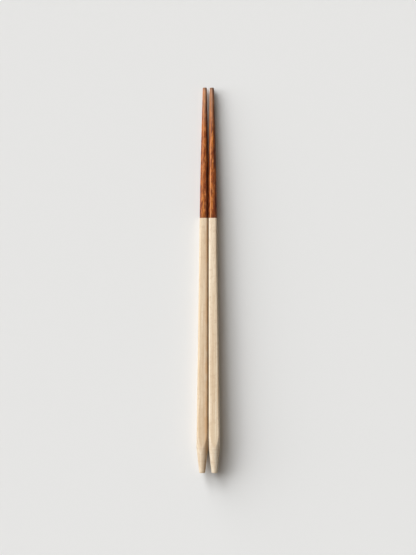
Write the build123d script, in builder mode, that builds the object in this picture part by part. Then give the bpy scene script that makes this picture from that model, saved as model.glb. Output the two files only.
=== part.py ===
from build123d import *
import os
from math import atan, cos, degrees, hypot, sqrt

# A pair of two-wood chopsticks, lying side by side on their flats, points towards +Y.
# Each is a pale shank and a dark tip, glued end to end over a round peg left on the tip.
# One stick is made along +Y from its butt, with its axis in the middle, then laid down
# twice. The origin is midway between the two, on the surface that they lie on.

# Lengths of one stick
stick_length = 235.0
tip_length = 79.6
butt_taper_length = 15.5  # from the butt's end to where its cone meets the flats

# Widths across the flats, and the round ends
butt_width = 7.3  # the flats carried on to the very end, before the butt is turned
joint_width = 5.15
butt_end_diameter = 3.6
tip_end_diameter = 2.5

# Edges
edge_chamfer = 1.0  # measured along each flat
edge_radius = 0.3
butt_rim_radius = 0.6
tip_rim_chamfer = 0.3

# Peg and socket
peg_diameter = 2.4
peg_length = 9.0
peg_chamfer = 0.3
glue_gap = 0.05
socket_relief = 0.5  # room for spare glue beyond the end of the peg

# The pair
pair_gap = 0.25

# Form of the tip
point_round_share = 0.9  # corner radius at its end, as a share of the half width
softness_shares = (0, 0.6, 1)  # from the shank's corners to round ones: joint, middle, end

# Worked out from the sizes above
shank_length = stick_length - tip_length
flat_slope = (butt_width - joint_width) / 2 / shank_length
lean = atan(flat_slope)
butt_plane = Plane(origin=(0, 0, 0), x_dir=(1, 0, 0), z_dir=(0, 1, 0))
joint_plane = butt_plane.offset(shank_length)

# The pale shank: a square bar that tapers straight to the joint, with its corners taken off
with BuildPart() as shank:
    with BuildSketch(butt_plane):
        Rectangle(butt_width, butt_width)
    extrude(amount=shank_length)
    draft(faces().filter_by(Axis.Y, reverse=True), neutral_plane=butt_plane, angle=degrees(lean))
    chamfer(edges().group_by(SortBy.LENGTH)[-1], edge_chamfer)
    fillet(edges().group_by(SortBy.LENGTH)[-1], edge_radius)
    # Its butt is turned to a short cone, which leaves a tongue at the end of each flat
    taper_end_half = butt_width / 2 - flat_slope * butt_taper_length
    cone_slope = (taper_end_half - butt_end_diameter / 2) / butt_taper_length
    clear_radius = hypot(butt_width, butt_width) / 2
    clear_place = (clear_radius - butt_end_diameter / 2) / cone_slope
    with BuildSketch(Plane.XY):
        with BuildLine():
            Polyline(
                (0, 0),
                (butt_end_diameter / 2, 0),
                (clear_radius, clear_place),
                (clear_radius, shank_length),
                (0, shank_length),
                close=True,
            )
        make_face()
        fillet(vertices().group_by(Axis.Y)[0].sort_by(Axis.X)[-1], butt_rim_radius)
    revolve(axis=Axis.Y, mode=Mode.INTERSECT)
    with Locations(joint_plane):
        Hole(peg_diameter / 2 + glue_gap, peg_length + socket_relief)

# The dark tip: its flats leave the joint in line with the shank's and draw in along a
# parabola, while its corners grow and soften until the point is round
end_drop = joint_width - 2 * flat_slope * tip_length - tip_end_diameter
with BuildPart() as tip:
    for station, softness in enumerate(softness_shares):
        along = station / (len(softness_shares) - 1)
        width = joint_width - 2 * flat_slope * tip_length * along - end_drop * along**2
        even_chamfer = width / (2 + sqrt(2))  # leaves eight equal sides
        with BuildSketch(joint_plane.offset(tip_length * along)):
            Rectangle(width, width)
            chamfer(vertices(), edge_chamfer + (even_chamfer - edge_chamfer) * softness)
            fillet(vertices(), edge_radius + (point_round_share * width / 2 - edge_radius) * softness)
    loft()
    chamfer(faces().sort_by(Axis.Y)[-1].edges(), tip_rim_chamfer)
    # The peg is turned on the same piece
    with BuildSketch(joint_plane):
        Circle(peg_diameter / 2)
    extrude(amount=-peg_length)
    chamfer(faces().sort_by(Axis.Y)[0].edges(), peg_chamfer)

# Each stick rests on one flat of its shank and turns another to its fellow
axis_height = butt_width / 2 * cos(lean)
side_by_side = {
    "left": (-pair_gap / 2 - axis_height, -degrees(lean)),
    "right": (pair_gap / 2 + axis_height, degrees(lean)),
}

os.makedirs("parts", exist_ok=True)
for side, (across, yaw) in side_by_side.items():
    footing = Location((across, -stick_length / 2, axis_height), (0, 0, yaw))
    laid = footing * Location((0, 0, 0), (-degrees(lean), 0, 0))
    with BuildPart() as laid_shank:
        with Locations(laid):
            add(shank.part)
    laid_shank.part.label = f"{side}_shank"
    export_step(laid_shank.part, f"parts/{side}_shank.step")
    with BuildPart() as laid_tip:
        with Locations(laid):
            add(tip.part)
    laid_tip.part.label = f"{side}_tip"
    export_step(laid_tip.part, f"parts/{side}_tip.step")
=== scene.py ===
import math

import bmesh
import bpy
from mathutils import Matrix, Vector, noise


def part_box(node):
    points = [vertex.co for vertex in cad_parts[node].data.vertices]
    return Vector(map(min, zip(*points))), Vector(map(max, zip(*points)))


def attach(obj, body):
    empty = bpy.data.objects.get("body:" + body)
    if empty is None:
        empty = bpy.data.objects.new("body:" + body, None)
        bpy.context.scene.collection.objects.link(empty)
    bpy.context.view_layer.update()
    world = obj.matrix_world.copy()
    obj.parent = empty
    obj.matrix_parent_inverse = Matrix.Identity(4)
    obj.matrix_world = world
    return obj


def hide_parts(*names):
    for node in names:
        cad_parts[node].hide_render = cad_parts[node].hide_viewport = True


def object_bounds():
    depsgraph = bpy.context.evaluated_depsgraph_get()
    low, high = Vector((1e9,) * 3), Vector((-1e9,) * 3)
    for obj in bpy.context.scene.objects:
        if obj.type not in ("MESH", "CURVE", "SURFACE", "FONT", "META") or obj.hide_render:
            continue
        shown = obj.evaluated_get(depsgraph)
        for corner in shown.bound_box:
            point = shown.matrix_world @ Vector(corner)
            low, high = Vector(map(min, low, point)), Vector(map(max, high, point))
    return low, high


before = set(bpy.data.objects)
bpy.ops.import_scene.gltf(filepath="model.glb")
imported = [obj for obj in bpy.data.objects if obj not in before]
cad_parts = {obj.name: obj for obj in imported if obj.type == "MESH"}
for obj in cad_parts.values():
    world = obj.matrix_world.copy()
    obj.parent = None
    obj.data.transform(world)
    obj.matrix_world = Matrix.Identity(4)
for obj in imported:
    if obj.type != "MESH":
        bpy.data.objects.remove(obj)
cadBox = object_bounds()
print("frame loaded:", ", ".join(sorted(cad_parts)))

# The sticks are drawn in millimetres, each along +Y from the end of its butt, and are then
# laid in the frame, which is in metres.
mm = 0.001

stick = {
    "length": 235.0,
    "tipLength": 79.6,
    "buttWidth": 7.3,  # the flats carried on to the very end, before the butt is turned
    "jointWidth": 5.15,
    "pointWidth": 2.5,
    "chamfer": 1.0,  # measured along each flat
    "arrisRadius": 0.3,
    "pointRoundShare": 0.9,  # corner radius at the point, as a share of the half width
    "earlySoftShare": 1.4,  # how fast the corners soften just past the joint
    "sideGap": 0.25,  # between the two sticks
}
shankLength = stick["length"] - stick["tipLength"]
flatSlope = (stick["buttWidth"] - stick["jointWidth"]) / 2 / shankLength
lean = math.atan(flatSlope)
pointDrop = stick["jointWidth"] - 2 * flatSlope * stick["tipLength"] - stick["pointWidth"]

# Stripes of painted light and shade that run straight along a stick: lighter ones are painted highlights
# and sheen, darker or browner ones painted shade. across is their place over it and reach how far they
# spread to each side, both in millimetres, and share is how much of the colour shows.
sides = {
    "left": {
        "hand": -1,
        "seed": Vector((3.7, 11.2, 5.9)),
        "paleColours": ((212, 187, 155), (225, 204, 174)),  # at the butt and at the joint
        # painted shade, browner along the side towards the other stick
        "palePaintedLight": [dict(colour=(206, 160, 112), across=2.6, reach=2.0, share=0.75)],
        "darkPaintedLight": [
            # painted sheen on the lit left side
            dict(colour=(224, 142, 74), across=-0.9, reach=0.8, share=0.35),
            # painted shade on the right side, turned from the light
            dict(colour=(72, 22, 4), across=1.55, reach=0.85, share=0.8),
        ],
    },
    "right": {
        "hand": 1,
        "seed": Vector((17.3, 4.6, 9.1)),
        "paleColours": ((222, 203, 174), (238, 221, 196)),
        # painted highlight along the lit left edge
        "palePaintedLight": [dict(colour=(250, 232, 205), across=-2.9, reach=0.9, share=0.35)],
        "darkPaintedLight": [
            # painted glint along the lit left arris
            dict(colour=(240, 164, 98), across=-1.3, reach=0.36, share=0.95),
            # painted shade on the right side, turned from the light
            dict(colour=(78, 28, 8), across=1.4, reach=1.35, share=0.75),
        ],
    },
}

# Hand finishing: how far the surface and the arrises stray from dead straight
handwork = {
    "crown": 0.09,  # fall of a flat from its middle to its edges
    "cutDepth": 0.28,  # below the flats, where the wood counts as a cut facet
    "turnedDepth": 0.2,  # below the cone, where it no longer counts as turned
    "hollow": 0.018,  # deepest the sanding goes below the true surface
    "hollowLength": 26.0,
    "hollowAcross": 5.0,
    "strayShare": 0.06,  # of the chamfer's width
    "strayLength": 19.0,
    "cornersApart": 7.3,  # so that the four corners stray each in its own way
}

ring = {
    "flatCells": 11,
    "arrisCells": 5,
    "chamferCells": 8,
    "sharpAngle": 34,  # degrees from which an edge shows as an edge
}


def sectionAt(place):
    # Half width, chamfer, arris radius and softness at this distance from the end of the butt
    if place <= shankLength:
        half = stick["buttWidth"] / 2 - flatSlope * place
        return half, stick["chamfer"], stick["arrisRadius"], 0.0
    along = (place - shankLength) / stick["tipLength"]
    drop = 2 * flatSlope * stick["tipLength"] * along + pointDrop * along**2
    width = stick["jointWidth"] - drop
    early = stick["earlySoftShare"]
    soft = early * along + (1 - early) * along**2
    evenChamfer = width / (2 + math.sqrt(2))  # leaves eight equal sides
    chamfer = stick["chamfer"] + (evenChamfer - stick["chamfer"]) * soft
    endRadius = stick["pointRoundShare"] * width / 2
    radius = stick["arrisRadius"] + (endRadius - stick["arrisRadius"]) * soft
    return width / 2, chamfer, radius, soft


def quarterRing(half, chamfer, radius, crown):
    # From the middle of one crowned flat, round a corner, to the middle of the next
    eighth = math.pi / 4
    fall = math.atan(2 * crown / (half - chamfer))  # slope of the flat at its edge
    flatEnd = half - chamfer + crown - radius * (math.sqrt(2) - math.cos(fall) - math.sin(fall))
    centre = (half - crown - radius * math.cos(fall), flatEnd - radius * math.sin(fall))
    points = []
    for i in range(ring["flatCells"]):
        share = i / ring["flatCells"]
        points.append((half - crown * share**2, flatEnd * share))
    for i in range(ring["arrisCells"]):
        turn = fall + (eighth - fall) * i / ring["arrisCells"]
        points.append((centre[0] + radius * math.cos(turn), centre[1] + radius * math.sin(turn)))
    mirrored = [(up, across) for across, up in reversed(points[1:])]
    near = centre[0] + radius * math.cos(eighth)
    far = centre[1] + radius * math.sin(eighth)
    for i in range(ring["chamferCells"] + 1):
        share = i / ring["chamferCells"]
        points.append((near + (far - near) * share, far + (near - far) * share))
    return points + mirrored


def stickRing(place, seed, limit=None, shrink=0.0):
    # One turn round the stick. limit is the radius that the turned butt leaves here, and
    # shrink draws the ring in where an end is rounded over.
    half, chamfer, radius, soft = sectionAt(place)
    points = []
    for quarter in range(4):
        corner = Vector((place / handwork["strayLength"], quarter * handwork["cornersApart"], 0))
        stray = noise.noise(corner + seed)
        cut = chamfer * (1 + handwork["strayShare"] * stray * (1 - soft))
        turn = math.pi / 2 * quarter
        for across, up in quarterRing(half, cut, radius, handwork["crown"] * (1 - soft)):
            x = across * math.cos(turn) - up * math.sin(turn)
            z = across * math.sin(turn) + up * math.cos(turn)
            reach = math.hypot(x, z)
            wanted = reach - shrink
            if limit is not None:
                power = butt["crispness"]
                wanted = (wanted**-power + limit**-power) ** (-1 / power)
            spot = Vector((x, 0, z)) / handwork["hollowAcross"]
            spot.y = place / handwork["hollowLength"]
            wanted -= handwork["hollow"] * (0.5 + 0.5 * noise.noise(spot + seed))
            points.append(Vector((x * wanted / reach, place, z * wanted / reach)))
    return points


def roundRing(place, radius, like):
    # A circle whose points lie in line with those of another ring
    return [Vector((p.x, 0, p.z)).normalized() * radius + Vector((0, place, 0)) for p in like]


def closedMesh(name, rings, firstMiddle, lastMiddle):
    # Skins the rings in order and closes both ends on a middle point
    shape = bmesh.new()
    rows = [[shape.verts.new(point) for point in points] for points in rings]
    count = len(rows[0])
    for row, nextRow in zip(rows, rows[1:]):
        for i in range(count):
            j = (i + 1) % count
            shape.faces.new((row[i], row[j], nextRow[j], nextRow[i]))
    for row, place in ((rows[0], firstMiddle), (rows[-1], lastMiddle)):
        middle = shape.verts.new((0, place, 0))
        for i in range(count):
            shape.faces.new((row[i], row[(i + 1) % count], middle))
    bmesh.ops.recalc_face_normals(shape, faces=shape.faces)
    mesh = bpy.data.meshes.new(name)
    shape.to_mesh(mesh)
    shape.free()
    mesh.polygons.foreach_set("use_smooth", [True] * len(mesh.polygons))
    mesh.set_sharp_from_angle(angle=math.radians(ring["sharpAngle"]))
    markWood(mesh)
    return mesh


def markWood(mesh):
    # What the material reads from the mesh: cutBack is 0 on the flats and 1 on the facets
    # beside them, turned is 1 on the butt's cone, and across is the place over the stick
    values = {"cutBack": [], "turned": [], "across": []}
    for vertex in mesh.vertices:
        x, place, z = vertex.co
        depth = sectionAt(place)[0] - max(abs(x), abs(z))
        values["cutBack"].append(min(1.0, max(0.0, depth / handwork["cutDepth"])))
        below = coneRadius(place) - math.hypot(x, z)
        values["turned"].append(min(1.0, max(0.0, 1 - below / handwork["turnedDepth"])))
        values["across"].append(x)
    for name, numbers in values.items():
        mesh.attributes.new(name, "FLOAT", "POINT").data.foreach_set("value", numbers)


def evenPlaces(start, end, step):
    count = max(1, round((end - start) / step))
    return [start + (end - start) * i / count for i in range(1, count + 1)]


# The joint inside each stick: a peg left on the dark wood, in a blind hole in the pale
joint = {
    "pegDiameter": 2.4,
    "pegLength": 9.0,
    "pegChamfer": 0.3,
    "glueGap": 0.05,
    "spareDepth": 0.5,
}

# The turned butt of the pale shank
butt = {
    "endDiameter": 3.6,
    "taperLength": 15.5,  # from the end to where the cone meets the flats
    "rimRadius": 0.6,
    "rimSteps": 8,
    "endRings": (0.35, 0.7),  # over the end face, as shares of its radius
    "crispness": 240,  # of the line where cone and flats meet
    "fineStep": 0.24,
    "coarseStep": 1.8,
}
taperEndHalf = stick["buttWidth"] / 2 - flatSlope * butt["taperLength"]
coneSlope = (taperEndHalf - butt["endDiameter"] / 2) / butt["taperLength"]
coneLean = math.atan(coneSlope)
cornerReach = math.hypot(stick["buttWidth"] / 2, stick["buttWidth"] / 2 - stick["chamfer"])
coneClear = (cornerReach - butt["endDiameter"] / 2) / coneSlope  # the cone has left every corner


def coneRadius(place):
    return butt["endDiameter"] / 2 + coneSlope * place


def shankMesh(name, seed):
    rim = butt["rimRadius"]
    rimMiddle = coneRadius(rim) - rim / math.cos(coneLean)
    start = roundRing(0, rimMiddle, stickRing(0, seed))
    rings = [roundRing(0, rimMiddle * share, start) for share in butt["endRings"]]
    for step in range(butt["rimSteps"]):
        turn = (math.pi / 2 - coneLean) * step / butt["rimSteps"]
        rings.append(roundRing(rim - rim * math.cos(turn), rimMiddle + rim * math.sin(turn), start))
    rimEnd = rim - rim * math.sin(coneLean)
    for place in [rimEnd] + evenPlaces(rimEnd, coneClear, butt["fineStep"]):
        rings.append(stickRing(place, seed, coneRadius(place)))
    for place in evenPlaces(coneClear, shankLength, butt["coarseStep"]):
        rings.append(stickRing(place, seed))
    # The end face, and the hole that takes the peg
    hole = joint["pegDiameter"] / 2 + joint["glueGap"]
    depth = shankLength - joint["pegLength"] - joint["spareDepth"]
    for place in [shankLength, depth]:
        rings.append(roundRing(place, hole, start))
    return closedMesh(name, rings, 0, depth)


# The point of the dark tip
point = {
    "rimRadius": 0.42,
    "rimSteps": 6,
    "endRings": (0.66, 0.33),  # over the end face, each as a share of the ring before it
    "step": 1.1,
}


def tipMesh(name, seed):
    base = stickRing(shankLength, seed)
    pegEnd = shankLength - joint["pegLength"]
    pegRadius = joint["pegDiameter"] / 2
    rings = [
        roundRing(pegEnd, pegRadius - joint["pegChamfer"], base),
        roundRing(pegEnd + joint["pegChamfer"], pegRadius, base),
        roundRing(shankLength, pegRadius, base),
        base,
    ]
    rim = point["rimRadius"]
    rimStart = stick["length"] - rim
    for place in evenPlaces(shankLength, rimStart, point["step"]):
        rings.append(stickRing(place, seed))
    for step in range(1, point["rimSteps"] + 1):
        turn = math.pi / 2 * step / point["rimSteps"]
        place = rimStart + rim * math.sin(turn)
        rings.append(stickRing(place, seed, shrink=rim * (1 - math.cos(turn))))
    for share in point["endRings"]:
        rings.append([Vector((p.x * share, p.y, p.z * share)) for p in rings[-1]])
    return closedMesh(name, rings, pegEnd, stick["length"])


def laidStick(hand):
    # Rests on one flat of its shank and turns another to its fellow
    axisHeight = stick["buttWidth"] / 2 * math.cos(lean)
    across = hand * (stick["sideGap"] / 2 + axisHeight)
    place = Matrix.Translation((across, -stick["length"] / 2, axisHeight))
    turned = Matrix.Rotation(hand * lean, 4, "Z") @ Matrix.Rotation(-lean, 4, "X")
    return Matrix.Scale(mm, 4) @ place @ turned


def put(tree, kind, inputs=None, **settings):
    # A node with its settings, its sockets linked or set
    made = tree.nodes.new(kind)
    for name, value in settings.items():
        setattr(made, name, value)
    for name, value in (inputs or {}).items():
        socket = made.inputs[name]
        if isinstance(value, bpy.types.NodeSocket):
            tree.links.new(value, socket)
        else:
            socket.default_value = value
    return made


def onScreen(colour):
    # A colour from 0 to 255, as it looks on screen, made linear
    values = []
    for level in colour:
        share = level / 255
        values.append(share / 12.92 if share <= 0.04045 else ((share + 0.055) / 1.055) ** 2.4)
    return (*values, 1.0)


def mixed(tree, share, first, second):
    # first where share is 0, second where it is 1. The Mix node's sockets for a colour share
    # their names with those for a number, so they are told apart by their places.
    mixer = put(tree, "ShaderNodeMix", data_type="RGBA")
    for index, value in ((0, share), (6, first), (7, second)):
        if isinstance(value, bpy.types.NodeSocket):
            tree.links.new(value, mixer.inputs[index])
        else:
            mixer.inputs[index].default_value = value
    return mixer.outputs[2]


def tinted(tree, share, colour, tint):
    # The colour as it is where share is 0, and multiplied by the tint where it is 1
    mixer = put(tree, "ShaderNodeMix", data_type="RGBA", blend_type="MULTIPLY")
    mixer.inputs[7].default_value = tint
    tree.links.new(share, mixer.inputs[0])
    tree.links.new(colour, mixer.inputs[6])
    return mixer.outputs[2]


def ranged(tree, value, low, high, top=1.0):
    # 0 at low, top at high, and even between them
    inputs = {"Value": value, "From Min": low, "From Max": high, "To Max": top}
    return put(tree, "ShaderNodeMapRange", inputs).outputs["Result"]


def worked(tree, way, first, second=0.0):
    made = put(tree, "ShaderNodeMath", {0: first, 1: second}, operation=way)
    return made.outputs[0]


def vectorWorked(tree, way, first, second):
    made = put(tree, "ShaderNodeVectorMath", {0: first, 1: second}, operation=way)
    return made.outputs[0]


def stretched(tree, vector, across, along):
    return vectorWorked(tree, "MULTIPLY", vector, (across, along, across))


# Both woods are built from the same kinds of layer. cells is how many of the pattern's cells
# go to a millimetre, across and along the stick, shows is the stretch of the pattern that
# takes the layer's colour, and share how much of the colour it takes.
paleWood = {
    "layers": [
        dict(kind="streak", colour=(206, 176, 141), cells=(0.75, 0.012), shows=(0.44, 0.66), share=0.65),
        dict(kind="streak", colour=(240, 225, 201), cells=(1.5, 0.03), shows=(0.5, 0.68), share=0.6),
        dict(kind="rings", colour=(193, 159, 121), cells=(0.55, 0.0), shows=(0.55, 1.0), share=0.3),
        dict(kind="streak", colour=(196, 163, 126), cells=(3.2, 0.09), shows=(0.5, 0.7), share=0.5),
        dict(kind="streak", colour=(198, 168, 134), cells=(0.3, 0.35), shows=(0.5, 0.66), share=0.32),
        dict(kind="pores", colour=(158, 122, 86), cells=(3.4, 0.42), shows=(0.2, 0.08), share=0.45),
    ],
    "turningLines": dict(colour=(178, 140, 102), cells=0.9, shows=(0.5, 0.64), share=0.18),
    "endColour": (193, 159, 121),
    # painted shade on the facets, the ends and the cone
    "facetShadeTint": (0.93, 0.96, 0.97, 1.0),
    "turnedTint": (1.0, 1.03, 1.1, 1.0),  # over the painted facet shade, which the cone takes too
    "roughness": (0.5, 0.6),
    "specular": 0.4,
    "bump": 0.25,
}

darkWood = {
    "colours": ((158, 80, 28), (176, 96, 40)),  # at the joint and at the point
    "layers": [
        dict(kind="streak", colour=(214, 130, 54), cells=(0.5, 0.05), shows=(0.46, 0.6), share=0.85),
        dict(kind="streak", colour=(116, 44, 12), cells=(1.1, 0.06), shows=(0.49, 0.66), share=0.75),
        dict(kind="rings", colour=(100, 38, 8), cells=(0.8, 0.0), shows=(0.6, 1.0), share=0.5),
        dict(kind="streak", colour=(222, 146, 84), cells=(1.1, 0.3), shows=(0.5, 0.62), share=0.68),
        dict(kind="streak", colour=(108, 42, 12), cells=(0.5, 0.13), shows=(0.51, 0.65), share=0.6),
        dict(kind="streak", colour=(100, 38, 12), cells=(1.3, 0.36), shows=(0.5, 0.6), share=0.76),
        dict(kind="streak", colour=(92, 36, 10), cells=(5.0, 0.12), shows=(0.5, 0.75), share=0.6),
        dict(kind="pores", colour=(58, 20, 6), cells=(3.0, 0.3), shows=(0.24, 0.1), share=0.75),
    ],
    # By distance from the joint, in millimetres: a darker stretch at the joint itself, a paler stretch
    # towards the point that is partly worn finish and partly painted sheen, and the point's darker end
    "bands": [
        dict(colour=(100, 50, 20), span=(5.5, 0.5), share=0.55),
        dict(colour=(178, 140, 112), span=(52.0, 78.0), share=0.68),
        dict(colour=(88, 62, 42), span=(77.8, 79.2), share=0.6),
    ],
    "endColour": (84, 36, 12),
    # painted shade on the facets and the ends
    "facetShadeTint": (0.72, 0.6, 0.5, 1.0),
    "roughness": (0.4, 0.52),
    "specular": 0.2,
    "bump": 0.3,
}

grain = {
    "pith": (31.0, 24.0),  # how far the middle of the tree lies from the stick, across and down
    "skew": 0.011,  # run-out of the grain, as an angle
    "seedAlong": 10,  # moves the two sticks further from each other along the tree than across
    "wander": 0.9,  # how far a ring strays, in millimetres
    "wanderCells": (0.12, 0.018),
    "wanderDetail": 2.0,
    "streakDetail": 3.0,
    "streakRoughness": 0.6,
    "heightScale": 0.03 * mm,
    "apart": (13.1, 57.0, 7.7),  # moves each layer away from the others, in millimetres
    "fineCells": 2,  # a layer with more cells than this across is felt as well as seen
    "stripeCore": 0.25,  # share of its reach where a stripe of painted light or shade is strongest
    "stripeCells": (0.5, 0.11),
    "stripeShows": (0.3, 0.55),
    "stripeDetail": 2.0,
    "endFacing": (0.75, 1.0),  # how squarely a cut end faces along the stick
    "endShare": 0.35,
}


def grownPlace(tree, side):
    # Millimetres from the pith of the tree, with the grain a little off the stick's line
    seed = sides[side]["seed"]
    hand = sides[side]["hand"]
    across, down = grain["pith"]
    mapping = {
        "Vector": put(tree, "ShaderNodeTexCoord").outputs["Object"],
        "Location": (across + seed.x, seed.y * grain["seedAlong"], hand * down + seed.z),
        "Rotation": (grain["skew"] * hand, 0, grain["skew"]),
        "Scale": (1 / mm,) * 3,
    }
    fromPith = put(tree, "ShaderNodeMapping", mapping).outputs[0]
    coarse = stretched(tree, fromPith, *grain["wanderCells"])
    swirl = {"Vector": coarse, "Scale": 1.0, "Detail": grain["wanderDetail"]}
    drift = put(tree, "ShaderNodeTexNoise", swirl)
    centred = vectorWorked(tree, "SUBTRACT", drift.outputs["Color"], (0.5,) * 3)
    strayed = vectorWorked(tree, "MULTIPLY", centred, (grain["wander"],) * 3)
    return vectorWorked(tree, "ADD", fromPith, strayed)


def patternOf(tree, layer, number, grown):
    if layer["kind"] == "rings":
        flat = stretched(tree, grown, *layer["cells"])
        distance = put(tree, "ShaderNodeVectorMath", {0: flat}, operation="LENGTH").outputs["Value"]
        return worked(tree, "FRACT", distance)
    shifted = vectorWorked(tree, "ADD", grown, [step * number for step in grain["apart"]])
    fine = stretched(tree, shifted, *layer["cells"])
    if layer["kind"] == "pores":
        return put(tree, "ShaderNodeTexVoronoi", {"Vector": fine, "Scale": 1.0}).outputs["Distance"]
    streaks = {
        "Vector": fine,
        "Scale": 1.0,
        "Detail": grain["streakDetail"],
        "Roughness": grain["streakRoughness"],
    }
    return put(tree, "ShaderNodeTexNoise", streaks).outputs[0]


def marked(tree, name):
    return put(tree, "ShaderNodeAttribute", attribute_name=name).outputs["Fac"]


def paintedLightShare(tree, stripe, number, grown):
    # Share of a stripe of painted light and shade: strongest along the stripe's own line, and uneven
    # along the stick
    away = worked(tree, "ABSOLUTE", worked(tree, "SUBTRACT", marked(tree, "across"), stripe["across"]))
    near = ranged(tree, away, stripe["reach"], stripe["reach"] * grain["stripeCore"], stripe["share"])
    shifted = vectorWorked(tree, "ADD", grown, [-step * (number + 1) for step in grain["apart"]])
    patches = stretched(tree, shifted, *grain["stripeCells"])
    blotches = {"Vector": patches, "Scale": 1.0, "Detail": grain["stripeDetail"]}
    uneven = put(tree, "ShaderNodeTexNoise", blotches).outputs[0]
    return worked(tree, "MULTIPLY", near, ranged(tree, uneven, *grain["stripeShows"]))


def turningShare(tree, lines, lengthwise, shift):
    # Fine rings that the chisel left round the cone, at uneven distances
    place = worked(tree, "ADD", worked(tree, "MULTIPLY", lengthwise, lines["cells"] / mm), shift)
    waves = put(tree, "ShaderNodeTexNoise", noise_dimensions="1D")
    waves.inputs["Scale"].default_value = 1.0
    tree.links.new(place, waves.inputs["W"])
    cut = ranged(tree, waves.outputs[0], *lines["shows"], lines["share"])
    return worked(tree, "MULTIPLY", cut, marked(tree, "turned"))


def woodMaterial(name, look, side, colours, paintedLight, ends):
    material = bpy.data.materials.new(name)
    material.use_nodes = True
    tree = material.node_tree
    shader = tree.nodes["Principled BSDF"]
    grown = grownPlace(tree, side)

    # The ground colour runs from one end of the piece to the other
    coordinates = put(tree, "ShaderNodeTexCoord").outputs["Object"]
    lengthwise = put(tree, "ShaderNodeSeparateXYZ", {"Vector": coordinates}).outputs["Y"]
    start, end = ends
    colour = mixed(tree, ranged(tree, lengthwise, start, end), onScreen(colours[0]), onScreen(colours[1]))
    relief = None
    for number, layer in enumerate(look["layers"]):
        pattern = patternOf(tree, layer, number, grown)
        share = ranged(tree, pattern, *layer["shows"], layer["share"])
        colour = mixed(tree, share, colour, onScreen(layer["colour"]))
        if layer["cells"][0] > grain["fineCells"]:
            relief = share if relief is None else worked(tree, "ADD", relief, share)
    for band in look.get("bands", ()):
        low, high = (start + distance * mm for distance in band["span"])
        share = ranged(tree, lengthwise, low, high, band["share"])
        colour = mixed(tree, share, colour, onScreen(band["colour"]))
    for number, stripe in enumerate(paintedLight):
        colour = mixed(tree, paintedLightShare(tree, stripe, number, grown), colour, onScreen(stripe["colour"]))
    if "turningLines" in look:
        share = turningShare(tree, look["turningLines"], lengthwise, sides[side]["seed"].x)
        colour = mixed(tree, share, colour, onScreen(look["turningLines"]["colour"]))
        relief = worked(tree, "ADD", relief, share)

    # Painted shade: the facets beside the flats, and with them the ends and the cone, are tinted darker
    # than the flats
    colour = tinted(tree, marked(tree, "cutBack"), colour, look["facetShadeTint"])
    if "turnedTint" in look:
        colour = tinted(tree, marked(tree, "turned"), colour, look["turnedTint"])
    normal = put(tree, "ShaderNodeNewGeometry").outputs["Normal"]
    facing = worked(tree, "ABSOLUTE", put(tree, "ShaderNodeSeparateXYZ", {"Vector": normal}).outputs["Y"])
    endGrain = ranged(tree, facing, *grain["endFacing"], grain["endShare"])
    colour = mixed(tree, endGrain, colour, onScreen(look["endColour"]))
    tree.links.new(colour, shader.inputs["Base Color"])

    low, high = look["roughness"]
    rough = put(tree, "ShaderNodeMapRange", {"Value": relief, "To Min": low, "To Max": high})
    tree.links.new(rough.outputs["Result"], shader.inputs["Roughness"])
    height = worked(tree, "SUBTRACT", 1.0, relief)
    bumpInputs = {"Height": height, "Strength": look["bump"], "Distance": grain["heightScale"]}
    tree.links.new(put(tree, "ShaderNodeBump", bumpInputs).outputs["Normal"], shader.inputs["Normal"])
    shader.inputs["Specular IOR Level"].default_value = look["specular"]
    return material


def addPiece(name, mesh, material, node):
    piece = bpy.data.objects.new(name, mesh)
    bpy.context.scene.collection.objects.link(piece)
    mesh.materials.append(material)
    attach(piece, "root")
    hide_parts(node)
    return piece


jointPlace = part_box("left_shank")[1].y
shankEnds = (cadBox[0].y, jointPlace)
tipEnds = (jointPlace, cadBox[1].y)
wood = []
for side, about in sides.items():
    laid = laidStick(about["hand"])
    shank = shankMesh(side + "_pale_shank", about["seed"])
    shank.transform(laid)
    pale = woodMaterial(
        side + "_pale_wood", paleWood, side, about["paleColours"], about["palePaintedLight"], shankEnds
    )
    wood.append(addPiece(shank.name, shank, pale, side + "_shank"))
    tip = tipMesh(side + "_dark_tip", about["seed"])
    tip.transform(laid)
    dark = woodMaterial(
        side + "_dark_wood", darkWood, side, darkWood["colours"], about["darkPaintedLight"], tipEnds
    )
    wood.append(addPiece(tip.name, tip, dark, side + "_tip"))
    print(side, "stick made:", len(shank.polygons) + len(tip.polygons), "faces")


# Floor, backdrop and lights. Soft lamps from the left light the wood, and lower ones the
# floor, where they draw out the shadow that the sticks throw. Part of the wood's light goes
# no further than the wood, so that the floor beside it stays more even.
studio = {
    "floorColour": (229, 229, 228),
    "floorSize": 8.0,  # metres
    "floorCells": 8,
    "floorRoughness": 0.95,
    "floorSpecular": 0.1,
    "backdropStrength": 1.0,
    "skyStrength": 0.175,
    "skyColour": (1.0, 0.88, 0.76, 1.0),
    "lampColour": (0.963, 0.982, 1.0),
}

# round is degrees from due left towards the points of the sticks, up is degrees from level,
# and width is how many degrees of the sky the lamp takes up
lamps = {
    "wood_light": {"round": 20.0, "up": 43.0, "width": 40.0, "strength": 2.5, "bounces": 8},
    "wood_fill": {"round": 20.0, "up": 43.0, "width": 40.0, "strength": 1.5, "bounces": 0},
    "floor_left": {"round": 10.0, "up": 10.0, "width": 40.0, "strength": 3.6, "bounces": 8},
    "floor_far": {"round": 55.0, "up": 10.0, "width": 40.0, "strength": 5.7, "bounces": 8},
    "floor_wide": {"round": 45.0, "up": 20.0, "width": 75.0, "strength": 2.6, "bounces": 8},
}


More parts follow.
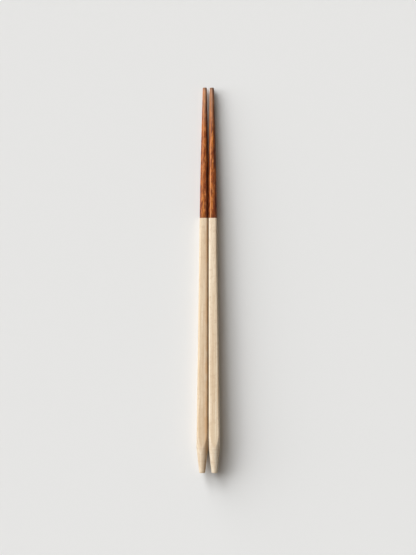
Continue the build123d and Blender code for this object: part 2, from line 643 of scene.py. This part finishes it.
def buildFloor():
    shape = bmesh.new()
    cells = studio["floorCells"]
    bmesh.ops.create_grid(shape, x_segments=cells, y_segments=cells, size=studio["floorSize"] / 2)
    mesh = bpy.data.meshes.new("floor")
    shape.to_mesh(mesh)
    shape.free()
    floor = bpy.data.objects.new("floor", mesh)
    floor.location.z = cadBox[0].z
    bpy.context.scene.collection.objects.link(floor)
    paint = bpy.data.materials.new("floor_paint")
    paint.use_nodes = True
    shader = paint.node_tree.nodes["Principled BSDF"]
    shader.inputs["Base Color"].default_value = onScreen(studio["floorColour"])
    shader.inputs["Roughness"].default_value = studio["floorRoughness"]
    shader.inputs["Specular IOR Level"].default_value = studio["floorSpecular"]
    mesh.materials.append(paint)
    return floor


def buildLamp(name, about, lit):
    # A soft lamp that lights only the things named
    lamp = bpy.data.lights.new(name, "SUN")
    lamp.energy = about["strength"]
    lamp.angle = math.radians(about["width"])
    lamp.color = studio["lampColour"]
    lamp.cycles.max_bounces = about["bounces"]
    holder = bpy.data.objects.new(name, lamp)
    up = math.radians(about["up"])
    turn = math.radians(about["round"])
    towards = Vector((-math.cos(turn) * math.cos(up), math.sin(turn) * math.cos(up), math.sin(up)))
    holder.rotation_mode = "QUATERNION"
    holder.rotation_quaternion = towards.to_track_quat("Z", "Y")
    bpy.context.scene.collection.objects.link(holder)
    group = bpy.data.collections.new(name + "_falls_on")
    for thing in lit:
        group.objects.link(thing)
    holder.light_linking.receiver_collection = group


def buildSky():
    world = bpy.data.worlds.new("sky")
    bpy.context.scene.world = world
    world.use_nodes = True
    tree = world.node_tree
    ambient = tree.nodes["Background"]
    ambient.inputs["Color"].default_value = studio["skyColour"]
    ambient.inputs["Strength"].default_value = studio["skyStrength"]
    shown = {"Color": onScreen(studio["floorColour"]), "Strength": studio["backdropStrength"]}
    backdrop = put(tree, "ShaderNodeBackground", shown)
    rays = put(tree, "ShaderNodeLightPath")
    seen = worked(tree, "MAXIMUM", rays.outputs["Is Camera Ray"], rays.outputs["Is Glossy Ray"])
    seen = worked(tree, "MAXIMUM", seen, rays.outputs["Is Transmission Ray"])
    mixer = put(tree, "ShaderNodeMixShader", {0: seen, 1: ambient.outputs[0], 2: backdrop.outputs[0]})
    tree.links.new(mixer.outputs[0], tree.nodes["World Output"].inputs["Surface"])


floor = buildFloor()
for name, about in lamps.items():
    buildLamp(name, about, wood if name.startswith("wood") else [floor])
buildSky()
print("floor and lights made")

# The camera looks straight down, with the points up the picture
cameraSet = {
    "lens": 105.0,
    "sensor": 36.0,  # its long side
    "clip": (0.01, 20.0),  # nearest and farthest that it sees, in metres
    "pictureHeight": 555,  # pixels
    "pictureMiddle": (208.0, 277.5),
    "pairMiddle": (208.35, 280.18),  # of the sticks, from the picture's upper left corner
    "pairLength": 385.55,  # from point to butt, pixels
}


def buildCamera():
    low, high = cadBox
    pixel = (high.y - low.y) / cameraSet["pairLength"]
    camera = bpy.data.cameras.new("camera")
    camera.lens = cameraSet["lens"]
    camera.sensor_width = cameraSet["sensor"]
    above = cameraSet["lens"] / cameraSet["sensor"] * pixel * cameraSet["pictureHeight"]
    middle = (low + high) / 2
    eye = bpy.data.objects.new("camera", camera)
    eye.location = (
        middle.x + (cameraSet["pictureMiddle"][0] - cameraSet["pairMiddle"][0]) * pixel,
        middle.y + (cameraSet["pairMiddle"][1] - cameraSet["pictureMiddle"][1]) * pixel,
        middle.z + above,
    )
    camera.clip_start, camera.clip_end = cameraSet["clip"]
    bpy.context.scene.collection.objects.link(eye)
    bpy.context.scene.camera = eye


buildCamera()
bpy.context.scene.view_settings.view_transform = "Standard"
print("camera set")
